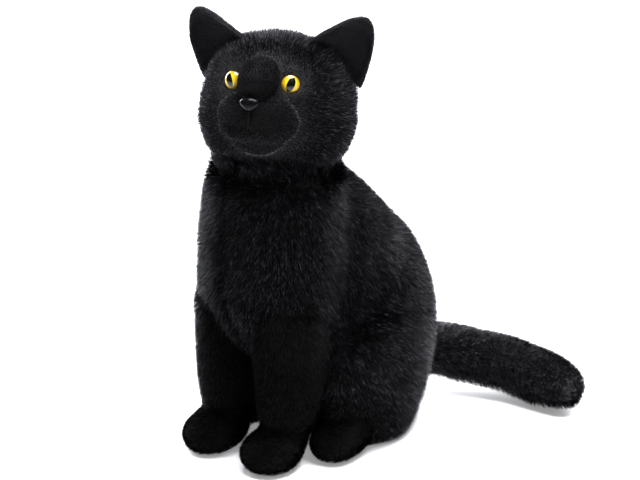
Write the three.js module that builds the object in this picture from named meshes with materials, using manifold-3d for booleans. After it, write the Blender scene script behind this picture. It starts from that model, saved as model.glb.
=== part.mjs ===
// A sitting plush cat: sewn plush covers over stuffing, a pellet bag in the seat, safety eyes and nose,
// and a doll joint in the neck. Millimetres, +Z up, the cat faces -Y and its left side is +X.
import * as THREE from 'three';
import { mergeVertices } from 'three/addons/utils/BufferGeometryUtils.js';
import Module from 'manifold-3d';

const wasm = await Module();
wasm.setup();

// ---- driving dimensions ----
const PLUSH = 2.6;          // backing cloth with its pressed-down pile
const GAP = 0.35;           // clearance between neighbouring pieces
const NECK_Z = 220;         // height of the plane that the head turns on
const NECK_Y = -21;         // neck axis, in front of the origin
const HEAD_TURN = 24;       // degrees the head is turned to its left at rest
const SEAT = { y: 47, z: 78, half: [60, 70, 93] };
const SKULL = { y: 0, z: 260, half: [52, 49, 43] };
const CHEEK = { y: -3, z: 246, half: [54, 45, 36] };
const LIPS = { y: -35, z: 256, half: [29, 24.5, 21] };
const CHIN = { y: -35, z: 243.5, half: [22, 20, 16] };
const EYE = { x: 20.5, y: -35.5, z: 280, radius: 7, shank: 1.6, washer: 7 };
const NOSE = { y: -59.5, z: 269, half: [6.5, 3.5, 4.5], shank: 1.5, washer: 6 };
const EAR = {
  x: 42, y: 2, z: 291,      // middle of the root
  height: 42, half: 25, thick: 1.7,
  tip: 0.62,                // width of the tip, as a share of the root
  round: 0.38,              // how far the tip's corners drop, as a share of the height
  lean: 38, turn: 16, cup: 9,
};
const CROWN_HALF = 15;      // half width of the gusset over the top of the head
const CHEST_SEAM_Y = -22;   // seam between the chest panels and the side panels
const CUFF_Z = 33;          // seam between a foreleg and its paw
const FORELEG_X = 29;
const HIND_PAW_X = 50;
const HAUNCH = { x: 44, y: 30, z: 49, half: [24, 51, 59] };
const BAG_TOP = 30;         // top of the pellet bag
const TAIL = { y: 101, z: 36, ball: 19, radius: 19.5 };
const DISC = { radius: 26, height: 3, hole: 2.6 };
const PIN_RADIUS = 2;

// ---- colours ----
const LONG_PILE = { color: 0x0c0c0e, roughness: 0.95 };
const LEG_PILE = { color: 0x0e0e10, roughness: 0.95 };
const SHORT_PILE = { color: 0x131316, roughness: 0.9 };
const EAR_CLOTH = { color: 0x222127, roughness: 0.85 };
const TAIL_PILE = { color: 0x0f0f11, roughness: 0.95 };
const FILLING = { color: 0xe8e6e0, roughness: 1 };
const BAG_CLOTH = { color: 0xcfc9bb, roughness: 0.9 };
const AMBER = { color: 0xd9a400, roughness: 0.08 };
const BLACK_PLASTIC = { color: 0x060607, roughness: 0.2 };
const WHITE_NYLON = { color: 0xe6e6e2, roughness: 0.5 };
const STEEL = { color: 0x9a9da2, roughness: 0.35, metalness: 1 };
const THREAD = { color: 0x08080a, roughness: 0.8 };

// ---- from geometry to solid and back ----
function solid(geometry) {
  const bare = geometry.clone();
  bare.deleteAttribute('normal');
  bare.deleteAttribute('uv');
  const merged = mergeVertices(bare, 1e-4);
  return new wasm.Manifold(new wasm.Mesh({
    numProp: 3,
    vertProperties: new Float32Array(merged.attributes.position.array),
    triVerts: new Uint32Array(merged.index.array),
  }));
}

function geometryOf(manifold) {
  const mesh = manifold.getMesh();
  const geometry = new THREE.BufferGeometry();
  geometry.setAttribute('position', new THREE.BufferAttribute(mesh.vertProperties, 3));
  geometry.setIndex(new THREE.BufferAttribute(mesh.triVerts, 1));
  geometry.computeVertexNormals();
  return geometry;
}

function placed(geometry, x, y, z, turn = [0, 0, 0]) {
  const euler = new THREE.Euler(...turn.map(THREE.MathUtils.degToRad));
  const place = new THREE.Matrix4().makeRotationFromEuler(euler).setPosition(x, y, z);
  return geometry.applyMatrix4(place);
}

function block(x0, x1, y0, y1, z0, z1) {
  const box = new THREE.BoxGeometry(x1 - x0, y1 - y0, z1 - z0);
  return solid(placed(box, (x0 + x1) / 2, (y0 + y1) / 2, (z0 + z1) / 2));
}

function ellipsoid(centre, radii, around = 16, rows = 10) {
  const ball = new THREE.SphereGeometry(1, around, rows).rotateX(Math.PI / 2);
  ball.scale(radii[0], radii[1], radii[2]);
  return solid(ball.translate(centre[0], centre[1], centre[2]));
}

function disc(radius, height, x, y, z, sides = 16) {
  const cylinder = new THREE.CylinderGeometry(radius, radius, height, sides).rotateX(Math.PI / 2);
  return solid(cylinder.translate(x, y, z));
}

// A stuffed limb: a sphere's rows are laid out along a curve, and each row becomes an oval ring.
// stations holds [x, y, z, half width, half depth]; blunt < 1 fills out the two ends.
function limb(stations, { inset = 0, around = 20, rows = 14, blunt = 0.5, side = [1, 0, 0] } = {}) {
  const path = new THREE.CatmullRomCurve3(stations.map(([x, y, z]) => new THREE.Vector3(x, y, z)));
  const girth = new THREE.CatmullRomCurve3(stations.map(([, , , a, b]) => new THREE.Vector3(a, b, 0)));
  const shrink = 1 - (2 * inset) / path.getLength();
  const ball = new THREE.SphereGeometry(1, around, rows).rotateX(Math.PI / 2);
  const spot = ball.attributes.position;
  const reference = new THREE.Vector3(...side);
  for (let i = 0; i < spot.count; i += 1) {
    const ring = Math.hypot(spot.getX(i), spot.getY(i));
    const angle = Math.atan2(spot.getY(i), spot.getX(i));
    const t = THREE.MathUtils.clamp(0.5 + 0.5 * shrink * spot.getZ(i), 0, 1);
    const centre = path.getPoint(t);
    const along = path.getTangent(t);
    const across = reference.clone().addScaledVector(along, -reference.dot(along)).normalize();
    const deep = along.clone().cross(across);
    const size = girth.getPoint(t);
    const fill = ring < 1e-6 ? 0 : Math.pow(ring, blunt);
    centre.addScaledVector(across, Math.cos(angle) * fill * (size.x - inset));
    centre.addScaledVector(deep, Math.sin(angle) * fill * (size.y - inset));
    spot.setXYZ(i, centre.x, centre.y, centre.z);
  }
  return solid(ball);
}

// ---- half spaces, for cutting a form along its seams ----
const FAR = 400;
const above = (z) => block(-FAR, FAR, -FAR, FAR, z, FAR);
const below = (z) => block(-FAR, FAR, -FAR, FAR, -FAR, z);
const rightOf = (x) => block(-FAR, x, -FAR, FAR, -FAR, FAR);
const leftOf = (x) => block(x, FAR, -FAR, FAR, -FAR, FAR);
const inFrontOf = (y) => block(-FAR, FAR, -FAR, y, -FAR, FAR);
const behind = (y) => block(-FAR, FAR, y, FAR, -FAR, FAR);
const half = (sign) => (sign > 0 ? leftOf(GAP / 2) : rightOf(-GAP / 2));
const forSide = (sign, stations) => stations.map(([x, ...rest]) => [sign * x, ...rest]);

// ---- outer forms; the inset makes the same form smaller, for the inside of a cover or its filling ----
// A form with coarse facets lies within the same form with fine ones, so fillings use COARSE.
const FINE = 1;
const COARSE = 0.72;
const facets = (count, detail) => 2 * Math.round((count * detail) / 2);

function oval({ x = 0, y, z, half: radii }, inset, detail, around, rows) {
  return ellipsoid([x, y, z], radii.map((r) => r - inset), facets(around, detail), facets(rows, detail));
}

function torsoForm(inset, detail = FINE) {
  const chest = limb([
    [0, -12, 62, 28, 22], [0, -22, 92, 43, 35], [0, -31, 124, 53, 46],
    [0, -29, 163, 51, 46], [0, -25, 196, 46, 43], [0, NECK_Y, 226, 42, 41], [0, NECK_Y, 250, 42, 41],
  ], { inset, around: facets(18, detail), rows: facets(10, detail), blunt: 0.45 });
  const nape = limb([
    [0, -2, 212, 34, 26], [0, 8, 184, 42, 33], [0, 26, 152, 52, 44], [0, 38, 112, 57, 56],
    [0, 42, 72, 57, 58],
  ], { inset, around: facets(16, detail), rows: facets(8, detail), blunt: 0.6 });
  return oval(SEAT, inset, detail, 20, 12).add(chest).add(nape)
    .intersect(above(inset)).intersect(below(NECK_Z - GAP - inset));
}

function forelegForm(sign, inset, detail = FINE) {
  const leg = limb(forSide(sign, [
    [FORELEG_X, -35, 150, 19, 26], [FORELEG_X + 1, -41, 110, 21.5, 30],
    [FORELEG_X, -43, 70, 20, 24.5], [FORELEG_X, -46, 35, 18.5, 20], [FORELEG_X, -48, 6, 17, 18],
  ]), { inset, around: facets(12, detail), rows: facets(6, detail), blunt: 0.35 });
  const paw = limb(forSide(sign, [
    [FORELEG_X, -34, 15, 15, 15], [FORELEG_X, -52, 15, 18.5, 17], [FORELEG_X, -70, 13, 19.5, 15],
    [FORELEG_X, -84, 12.5, 17, 13],
  ]), { inset, around: facets(12, detail), rows: facets(8, detail), blunt: 0.6 });
  return leg.add(paw).intersect(above(inset));
}

function haunchForm(sign, inset, detail = FINE) {
  return oval({ ...HAUNCH, x: sign * HAUNCH.x }, inset, detail, 16, 8).intersect(above(inset));
}

function hindPawForm(sign, inset, detail = FINE) {
  return limb(forSide(sign, [
    [HIND_PAW_X - 7, 34, 22, 15, 20], [HIND_PAW_X - 4, 12, 23, 16.5, 23], [HIND_PAW_X - 1, -8, 15, 17.5, 16.5],
    [HIND_PAW_X + 1, -24, 12.5, 18, 14], [HIND_PAW_X + 2, -36, 12, 15, 12.5],
  ]), { inset, around: facets(12, detail), rows: facets(8, detail), blunt: 0.6 }).intersect(above(inset));
}

function tailBall(extra, detail = FINE) {
  const radius = TAIL.ball + extra;
  return oval({ y: TAIL.y, z: TAIL.z, half: [radius, radius, radius] }, 0, detail, 12, 8);
}

function tailForm(inset, detail = FINE) {
  const brush = limb([
    [0, TAIL.y, TAIL.z, 16, 16], [5, TAIL.y + 22, TAIL.z - 1, 17.5, 17.5],
    [24, TAIL.y + 45, 31, TAIL.radius, TAIL.radius], [60, TAIL.y + 62, 26, TAIL.radius, TAIL.radius],
    [100, TAIL.y + 68, 20.5, TAIL.radius + 1, TAIL.radius + 1], [132, TAIL.y + 64, 19, 20, 20],
  ], { inset, around: facets(10, detail), rows: facets(10, detail), blunt: 0.4, side: [0, 0, 1] });
  return brush.add(tailBall(-1 - inset, detail)).intersect(above(inset));
}

const skullForm = (inset, detail = FINE) => oval(SKULL, inset, detail, 18, 10)
  .add(oval(CHEEK, inset, detail, 18, 8))
  .intersect(above(NECK_Z + GAP + inset));
const lipsForm = (inset, detail = FINE) => oval(LIPS, inset, detail, 14, 8);
const chinForm = (inset, detail = FINE) => oval(CHIN, inset, detail, 12, 8);
const bridgeForm = (inset, detail = FINE) => limb([
  [0, -31, 292, 13, 13], [0, -42, 286, 14.5, 14], [0, -48, 277, 13, 14], [0, -52, 268, 10.5, 12],
], { inset, around: facets(10, detail), rows: facets(6, detail), blunt: 0.6 });

// An ear panel: a flat sheet is rounded to a leaf, cupped forwards and set on the side of the head.
function earPanel(sign, layer) {
  const sheet = new THREE.BoxGeometry(2, 1, 1, 6, 5, 1);
  const spot = sheet.attributes.position;
  for (let i = 0; i < spot.count; i += 1) {
    const across = spot.getX(i);
    const up = spot.getY(i) + 0.5;
    const leaf = EAR.half * (1 - (1 - EAR.tip) * Math.pow(up, 1.3));
    const front = (0.5 + spot.getZ(i)) * EAR.thick + layer * (EAR.thick + 4 * GAP);
    const cupped = EAR.cup * (1 - across * across) * (1 - 0.5 * up);
    spot.setXYZ(i, across * leaf, cupped - front, EAR.height * up * (1 - EAR.round * across * across));
  }
  const ear = placed(sheet, sign * EAR.x, EAR.y, EAR.z - 6, [0, 0, sign * EAR.turn]);
  const lean = new THREE.Matrix4().makeRotationY(THREE.MathUtils.degToRad(sign * EAR.lean));
  const root = new THREE.Matrix4().makeTranslation(sign * EAR.x, EAR.y, EAR.z);
  ear.applyMatrix4(root.clone().multiply(lean).multiply(root.clone().invert()));
  return solid(ear);
}

// ---- pieces with a shank: a front, a stem through the cover, and a lock washer behind it ----
function facing(form, direction, at) {
  const turn = new THREE.Quaternion().setFromUnitVectors(new THREE.Vector3(0, 0, 1), direction);
  return form.transform(new THREE.Matrix4().compose(at, turn, new THREE.Vector3(1, 1, 1)).elements);
}

const eyeAt = (sign) => new THREE.Vector3(sign * EYE.x, EYE.y, EYE.z);
const eyeAxis = (sign) => new THREE.Vector3(sign * 0.4, -0.9, 0.17).normalize();
const noseAt = new THREE.Vector3(0, NOSE.y, NOSE.z);
const noseAxis = new THREE.Vector3(0, -1, 0.1).normalize();
const STEM_LENGTH = 15;

function eyeForm(sign, extra = 0) {
  const dome = ellipsoid([0, 0, 0], [EYE.radius + extra, EYE.radius + extra, 5 + extra], 12, 6);
  const stem = disc(EYE.shank + extra, STEM_LENGTH, 0, 0, -STEM_LENGTH / 2, 8);
  return facing(dome.add(stem), eyeAxis(sign), eyeAt(sign));
}

function noseForm(extra = 0) {
  const [x, y, z] = NOSE.half;
  const pad = ellipsoid([0, 0, 0], [x + extra, z + extra, y + extra], 10, 6);
  const stem = disc(NOSE.shank + extra, STEM_LENGTH, 0, 0, -STEM_LENGTH / 2, 8);
  return facing(pad.add(stem), noseAxis, noseAt);
}

function washerForm(radius, hole, at, axis, depth, extra = 0) {
  const plate = disc(radius + extra, 1.6 + 2 * extra, 0, 0, -depth, 12);
  const bored = extra > 0 ? plate : plate.subtract(disc(hole, 6, 0, 0, -depth, 8));
  return facing(bored, axis, at);
}

const eyeWasher = (sign, extra) => (
  washerForm(EYE.washer, EYE.shank + GAP, eyeAt(sign), eyeAxis(sign), 11.5, extra));
const noseWasher = (extra) => washerForm(NOSE.washer, NOSE.shank + GAP, noseAt, noseAxis, 10.5, extra);

// ---- the doll joint in the neck, about the vertical neck axis ----
const ring = (z, extra = 0) => disc(DISC.radius + extra, DISC.height + 2 * extra, 0, 0, z);
const pinHole = disc(DISC.hole, 60, 0, 0, NECK_Z, 12);
const HEAD_DISC_Z = NECK_Z + PLUSH + 2 * GAP + DISC.height / 2 + GAP;
const TORSO_DISC_Z = NECK_Z - PLUSH - 2 * GAP - DISC.height / 2 - GAP;
const WASHER_TOP_Z = HEAD_DISC_Z + DISC.height / 2 + GAP + 0.8;
const WASHER_LOW_Z = TORSO_DISC_Z - DISC.height / 2 - GAP - 0.8;
const jointPin = disc(PIN_RADIUS, WASHER_TOP_Z - WASHER_LOW_Z + 5, 0, 0, NECK_Z, 12)
  .add(disc(4.5, 1.6, 0, 0, WASHER_TOP_Z + 2.4, 12))
  .add(disc(4.5, 1.6, 0, 0, WASHER_LOW_Z - 2.4, 12));
const jointWasher = (z) => disc(8, 1.6, 0, 0, z, 14).subtract(pinHole);
const headPocket = disc(11, 16, 0, 0, WASHER_TOP_Z - 1, 20).add(ring(HEAD_DISC_Z, GAP))
  .add(disc(DISC.radius + GAP, 8, 0, 0, NECK_Z));
const torsoPocket = disc(11, 16, 0, 0, WASHER_LOW_Z + 1, 20).add(ring(TORSO_DISC_Z, GAP))
  .add(disc(DISC.radius + GAP, 8, 0, 0, NECK_Z));
const atNeck = (form) => form.translate([0, NECK_Y, 0]);

// ---- the torso, in the cat's frame ----
const cat = new THREE.Group();
cat.position.y = -SEAT.y;
function piece(parent, name, form, look) {
  const mesh = new THREE.Mesh(geometryOf(form), new THREE.MeshStandardMaterial(look));
  mesh.name = name;
  parent.add(mesh);
}

const SIDES = [['left', 1], ['right', -1]];
const FILL = PLUSH + GAP;
const torsoSkin = torsoForm(-GAP);
const recess = tailBall(GAP * 3);
const wall = torsoForm(0).subtract(torsoForm(PLUSH, COARSE)).subtract(recess)
  .intersect(above(PLUSH + GAP)).intersect(below(NECK_Z - PLUSH - 2 * GAP));
for (const [side, sign] of SIDES) {
  const panel = wall.intersect(half(sign));
  piece(cat, `chest_panel_${side}`, panel.intersect(inFrontOf(CHEST_SEAM_Y - GAP)), LONG_PILE);
  piece(cat, `torso_side_${side}`, panel.intersect(behind(CHEST_SEAM_Y)), LONG_PILE);

  const leg = forelegForm(sign, 0).subtract(forelegForm(sign, PLUSH, COARSE)).subtract(torsoSkin);
  piece(cat, `foreleg_cover_${side}`, leg.intersect(above(CUFF_Z + GAP)), LEG_PILE);
  piece(cat, `forepaw_cover_${side}`, leg.intersect(below(CUFF_Z)), SHORT_PILE);
  piece(cat, `foreleg_stuffing_${side}`,
    forelegForm(sign, FILL, COARSE).subtract(torsoSkin), FILLING);

  const haunch = haunchForm(sign, 0).subtract(haunchForm(sign, PLUSH, COARSE)).subtract(torsoSkin);
  const hindPawInside = hindPawForm(sign, PLUSH, COARSE);
  piece(cat, `haunch_cover_${side}`, haunch.subtract(hindPawInside), LONG_PILE);
  piece(cat, `hindpaw_cover_${side}`, hindPawForm(sign, 0).subtract(hindPawInside)
    .subtract(torsoSkin).subtract(haunchForm(sign, -GAP)), SHORT_PILE);
  piece(cat, `hindleg_stuffing_${side}`, haunchForm(sign, FILL, COARSE)
    .add(hindPawForm(sign, FILL, COARSE)).subtract(torsoSkin), FILLING);
}
const flatPlates = torsoForm(0).subtract(recess);
piece(cat, 'base_panel', flatPlates.intersect(below(PLUSH)), LONG_PILE);
piece(cat, 'torso_neck_panel',
  flatPlates.intersect(above(NECK_Z - PLUSH - GAP)).subtract(atNeck(pinHole)), LONG_PILE);

const filling = torsoForm(FILL, COARSE).subtract(recess);
piece(cat, 'pellet_bag', filling.intersect(below(BAG_TOP)), BAG_CLOTH);
piece(cat, 'torso_stuffing',
  filling.intersect(above(BAG_TOP + GAP)).subtract(atNeck(torsoPocket)), FILLING);
piece(cat, 'torso_joint_disc', atNeck(ring(TORSO_DISC_Z).subtract(pinHole)), WHITE_NYLON);
piece(cat, 'torso_joint_washer', atNeck(jointWasher(WASHER_LOW_Z)), STEEL);
piece(cat, 'joint_pin', atNeck(jointPin), STEEL);

// ---- the tail ----
const tailMouth = ellipsoid([0, TAIL.y - TAIL.ball, TAIL.z], [11, 11, 11], 12, 8);
piece(cat, 'tail_cover', tailForm(0).subtract(tailForm(PLUSH, COARSE)).subtract(tailMouth), TAIL_PILE);
piece(cat, 'tail_stuffing', tailForm(FILL, COARSE), FILLING);

// ---- the head, in a group that stands on the neck axis and is turned ----
const head = new THREE.Group();
head.position.set(0, NECK_Y, 0);
head.rotation.z = THREE.MathUtils.degToRad(HEAD_TURN);
cat.add(head);

const faceHoles = eyeForm(1, GAP).add(eyeForm(-1, GAP)).add(noseForm(GAP))
  .add(eyeWasher(1, GAP)).add(eyeWasher(-1, GAP)).add(noseWasher(GAP));
const lipsInside = lipsForm(PLUSH, COARSE);
const chinInside = chinForm(PLUSH, COARSE);
const bridgeInside = bridgeForm(PLUSH, COARSE);
const skullShell = skullForm(0).subtract(skullForm(PLUSH, COARSE))
  .subtract(lipsInside).subtract(chinInside).subtract(bridgeInside).subtract(faceHoles)
  .intersect(above(NECK_Z + PLUSH + 2 * GAP));
const strip = (extra) => block(-CROWN_HALF - extra, CROWN_HALF + extra, -FAR, FAR, SKULL.z - extra, FAR)
  .add(block(-CROWN_HALF - extra, CROWN_HALF + extra, -extra, FAR, -FAR, FAR));
const skullSkin = skullForm(-GAP);
const lipsSkin = lipsForm(-GAP);
for (const [side, sign] of SIDES) {
  piece(head, `head_side_${side}`, skullShell.subtract(strip(GAP)).intersect(half(sign)), LONG_PILE);
  piece(head, `ear_front_${side}`, earPanel(sign, 1).subtract(skullSkin)
    .subtract(earPanel(sign, 0.12)), EAR_CLOTH);
  piece(head, `ear_back_${side}`, earPanel(sign, 0).subtract(skullSkin), EAR_CLOTH);
  piece(head, `eye_${side}`, eyeForm(sign), AMBER);
  piece(head, `eye_washer_${side}`, eyeWasher(sign), WHITE_NYLON);
}
piece(head, 'head_crown', skullShell.intersect(strip(0)), LONG_PILE);
piece(head, 'head_neck_panel',
  skullForm(0).intersect(below(NECK_Z + GAP + PLUSH)).subtract(pinHole), LONG_PILE);
piece(head, 'muzzle_cover', lipsForm(0).subtract(lipsInside).subtract(skullSkin)
  .subtract(chinInside).subtract(bridgeInside).subtract(faceHoles), SHORT_PILE);
piece(head, 'chin_cover', chinForm(0).subtract(chinInside).subtract(skullSkin)
  .subtract(lipsSkin), SHORT_PILE);
piece(head, 'nose_bridge', bridgeForm(0).subtract(bridgeInside).subtract(skullSkin)
  .subtract(lipsSkin).subtract(faceHoles), SHORT_PILE);
piece(head, 'nose', noseForm(), BLACK_PLASTIC);
piece(head, 'nose_washer', noseWasher(), WHITE_NYLON);
const thread = limb([[0, -60.4, 263, 0.7, 0.7], [0, -60.3, 258, 0.7, 0.7], [0, -59, 253, 0.7, 0.7]],
  { around: 6, rows: 6, blunt: 0.4 });
piece(head, 'mouth_thread', thread.subtract(lipsSkin).subtract(noseForm(GAP)), THREAD);
piece(head, 'head_stuffing', skullForm(FILL, COARSE).add(lipsForm(FILL, COARSE))
  .add(chinForm(FILL, COARSE)).add(bridgeForm(FILL, COARSE))
  .subtract(faceHoles).subtract(headPocket), FILLING);
piece(head, 'head_joint_disc', ring(HEAD_DISC_Z).subtract(pinHole), WHITE_NYLON);
piece(head, 'head_joint_washer', jointWasher(WASHER_TOP_Z), STEEL);

export default cat;
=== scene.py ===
"""Looks of the sitting plush cat: cloth skins over the CAD solids, pile on the skins, eyes, nose, seams.

Metres, in the CAD frame: +Z up, the cat faces -Y, its left side is +X.
"""

import math

import bmesh
import bpy
import numpy as np
from mathutils import Matrix, Vector
from mathutils.bvhtree import BVHTree


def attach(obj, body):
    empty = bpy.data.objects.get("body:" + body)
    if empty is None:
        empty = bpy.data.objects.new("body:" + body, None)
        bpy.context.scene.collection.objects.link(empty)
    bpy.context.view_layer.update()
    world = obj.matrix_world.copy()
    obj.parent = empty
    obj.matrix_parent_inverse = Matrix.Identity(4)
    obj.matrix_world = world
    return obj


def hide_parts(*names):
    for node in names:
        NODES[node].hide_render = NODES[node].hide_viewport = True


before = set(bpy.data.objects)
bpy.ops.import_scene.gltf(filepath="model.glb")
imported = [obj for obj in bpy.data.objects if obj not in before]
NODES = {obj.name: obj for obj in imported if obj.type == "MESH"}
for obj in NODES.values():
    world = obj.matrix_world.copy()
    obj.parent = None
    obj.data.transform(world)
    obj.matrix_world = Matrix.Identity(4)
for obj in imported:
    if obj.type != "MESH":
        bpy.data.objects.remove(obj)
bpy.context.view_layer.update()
MM = 0.001

# ---- driving values ----
HEAD_TURN = math.radians(24)
NECK = Vector((0, -68, 220)) * MM
LONG, MEDIUM, SHORT, VELOUR = 8.5 * MM, 6.0 * MM, 3.6 * MM, 1.5 * MM  # fibre lengths
SIDES = (("left", 1), ("right", -1))
SWELL = 0.5 * MM  # how far a skin stands off the CAD
CHEST_SEAM = -69 * MM  # y of the plane where the chest meets the sides
PAW_SEAM = 33 * MM  # height of the seam between forepaw and foreleg
FLOOR_CLEAR = 1.5 * MM  # no pile grows below this height
# places on the head, in mm from the neck axis with the head straight ahead
EYE_X, EYE_Y, EYE_Z = 20.5, -35.5, 60
NOSE_AT = (0, -61.2, 50.2)
EAR_X, EAR_Y, EAR_Z = 42, 2, 71


# ---- meshes ----
def link(name, mesh):
    obj = bpy.data.objects.new(name, mesh)
    bpy.context.scene.collection.objects.link(obj)
    return obj


def from_bmesh(name, bm):
    mesh = bpy.data.meshes.new(name)
    bm.to_mesh(mesh)
    bm.free()
    return link(name, mesh)


def settle(obj, *modifiers):
    """Adds the modifiers, keeps the mesh that they make, and takes them off again."""
    for kind, settings in modifiers:
        added = obj.modifiers.new(kind, kind)
        for key, value in settings.items():
            setattr(added, key, value)
    depsgraph = bpy.context.evaluated_depsgraph_get()
    made = bpy.data.meshes.new_from_object(
        obj.evaluated_get(depsgraph), preserve_all_data_layers=True, depsgraph=depsgraph)
    obj.modifiers.clear()
    old, obj.data = obj.data, made
    bpy.data.meshes.remove(old)
    obj.data.name = obj.name
    return obj


def places(mesh):
    co = np.empty(len(mesh.vertices) * 3, np.float32)
    mesh.vertices.foreach_get("co", co)
    return co.reshape(-1, 3).astype(float)


def set_places(mesh, co):
    mesh.vertices.foreach_set("co", np.asarray(co, np.float32).ravel())
    mesh.update()


def normals(mesh):
    out = np.empty(len(mesh.vertices) * 3, np.float32)
    mesh.vertex_normals.foreach_get("vector", out)
    return out.reshape(-1, 3).astype(float)


def unit(v):
    return v / np.maximum(np.linalg.norm(v, axis=-1, keepdims=True), 1e-9)


def set_attribute(mesh, name, values, kind="FLOAT"):
    if name in mesh.attributes:
        mesh.attributes.remove(mesh.attributes[name])
    layer = mesh.attributes.new(name, kind, "POINT")
    key = "vector" if kind == "FLOAT_VECTOR" else "value"
    layer.data.foreach_set(key, np.asarray(values, np.float32).ravel())


def biggest_part(bm):
    """Drops the closed pockets that a remesh leaves inside."""
    left, parts = set(bm.verts), []
    while left:
        stack, part = [left.pop()], []
        while stack:
            vert = stack.pop()
            part.append(vert)
            for edge in vert.link_edges:
                other = edge.other_vert(vert)
                if other in left:
                    left.remove(other)
                    stack.append(other)
        parts.append(part)
    parts.sort(key=len)
    for part in parts[:-1]:
        bmesh.ops.delete(bm, geom=part, context="VERTS")


def ripple(co, wave, seed):
    """Smooth noise in -1..1 at each place, with bumps about wave metres long."""
    rng = np.random.default_rng(seed)
    total = np.zeros(len(co))
    for _ in range(7):
        k = unit(rng.normal(size=3)) * 2 * math.pi / (wave * rng.uniform(0.7, 1.5))
        total += np.sin(co @ k + rng.uniform(0, 6.28))
    return total / 3.5


def skin(name, nodes, voxel, smooth, hull=False, lumps=0.8 * MM):
    """One closed cloth skin round the CAD nodes, without their facets."""
    bm = bmesh.new()
    for node in nodes:
        bm.from_mesh(NODES[node].data)
    bmesh.ops.remove_doubles(bm, verts=bm.verts, dist=1e-6)
    if hull:
        made = bmesh.ops.convex_hull(bm, input=bm.verts)
        bmesh.ops.delete(bm, geom=made["geom_interior"] + made["geom_unused"], context="VERTS")
    obj = from_bmesh(name, bm)
    settle(obj, ("REMESH", {"mode": "VOXEL", "voxel_size": voxel}))
    bm = bmesh.new()
    bm.from_mesh(obj.data)
    biggest_part(bm)
    bm.to_mesh(obj.data)
    bm.free()
    settle(obj, ("SMOOTH", {"factor": 0.6, "iterations": smooth}))
    co, out = places(obj.data), normals(obj.data)
    co += out * (SWELL + lumps * ripple(co, 45 * MM, len(name)))[:, None]
    co[:, 2] = np.maximum(co[:, 2], 0)
    set_places(obj.data, co)
    return obj


def fill_creases(obj, reach, voxel):
    """Bridges the hollows narrower than twice the reach: the skin grows, is made again, and shrinks back."""
    set_places(obj.data, places(obj.data) + normals(obj.data) * reach)
    settle(obj, ("REMESH", {"mode": "VOXEL", "voxel_size": voxel}),
           ("SMOOTH", {"factor": 0.5, "iterations": 4}))
    co = places(obj.data) - normals(obj.data) * reach
    co[:, 2] = np.maximum(co[:, 2], 0)
    set_places(obj.data, co)
    settle(obj, ("SMOOTH", {"factor": 0.5, "iterations": 3}))


def press(obj, at, radius, depth, along):
    """Moves a round patch of a skin along a direction, in mm: inwards it is a hollow, outwards a swelling."""
    co = places(obj.data)
    far = np.linalg.norm((co - np.array(at) * MM) / (np.array(radius) * MM), axis=1)
    co += np.array(along) * depth * MM * np.exp(-(far ** 2))[:, None]
    co[:, 2] = np.maximum(co[:, 2], 0)
    set_places(obj.data, co)


def inflate(obj, pinned, limit=3 * MM):
    """The filling pushes the cloth out between its seams. The seams stay, and nothing moves past the limit."""
    rest = places(obj.data)
    group = obj.vertex_groups.new(name="seams")
    group.add([int(i) for i in np.nonzero(pinned)[0]], 1, "REPLACE")
    cloth = obj.modifiers.new("Cloth", "CLOTH")
    values = cloth.settings
    values.use_pressure, values.uniform_pressure_force = True, 4
    values.vertex_group_mass = "seams"
    values.effector_weights.gravity = 0
    cloth.collision_settings.use_collision = False
    scene = bpy.context.scene
    cloth.point_cache.frame_start, cloth.point_cache.frame_end = 1, 20
    for number in range(1, 21):
        scene.frame_set(number)
    moved = obj.evaluated_get(bpy.context.evaluated_depsgraph_get()).to_mesh()
    shift = places(moved) - rest
    far = np.linalg.norm(shift, axis=1, keepdims=True)
    shift *= np.minimum(1, limit / np.maximum(far, 1e-9))
    obj.modifiers.clear()
    obj.vertex_groups.clear()
    scene.frame_set(1)
    rest += np.where(np.isfinite(shift), shift, 0)
    rest[:, 2] = np.maximum(rest[:, 2], 0)
    set_places(obj.data, rest)


def crease(obj, distance, depth=1.6 * MM, half=3.5 * MM):
    """Draws the cloth in along a seam; distance is how far each place is from it."""
    co, out = places(obj.data), normals(obj.data)
    co -= out * (depth * np.exp(-((distance / half) ** 2)))[:, None]
    co[:, 2] = np.maximum(co[:, 2], 0)
    set_places(obj.data, co)


def tree(obj):
    return BVHTree.FromPolygons([v.co for v in obj.data.vertices],
                                [p.vertices[:] for p in obj.data.polygons])


def depth_in(co, solid_tree):
    """Signed distance to a closed skin; negative inside it."""
    out = np.empty(len(co))
    for i, p in enumerate(co):
        at, normal, _, far = solid_tree.find_nearest(Vector(p))
        out[i] = far if (Vector(p) - at).dot(normal) > 0 else -far
    return out


def nearest_of(co, names):
    """For each place, the number of the CAD node that lies nearest."""
    trees = []
    for name in names:
        mesh = NODES[name].data
        trees.append(BVHTree.FromPolygons([v.co for v in mesh.vertices],
                                          [p.vertices[:] for p in mesh.polygons]))
    far = np.array([[t.find_nearest(Vector(p))[3] for t in trees] for p in co])
    return far.argmin(1)


# ---- shader nodes ----
class S:
    """A node socket with arithmetic."""

    def __init__(self, graph, socket):
        self.graph, self.socket = graph, socket

    def _op(self, kind, *args):
        node = self.graph.nodes.new("ShaderNodeMath")
        node.operation = kind
        for slot, arg in zip(node.inputs, args):
            self.graph.feed(slot, arg)
        return S(self.graph, node.outputs[0])

    def __add__(self, o): return self._op("ADD", self, o)
    def __sub__(self, o): return self._op("SUBTRACT", self, o)
    def __mul__(self, o): return self._op("MULTIPLY", self, o)
    def __truediv__(self, o): return self._op("DIVIDE", self, o)
    def __pow__(self, o): return self._op("POWER", self, o)
    def over(self, edge, soft): return self.graph.step(self, edge, soft)


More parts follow.
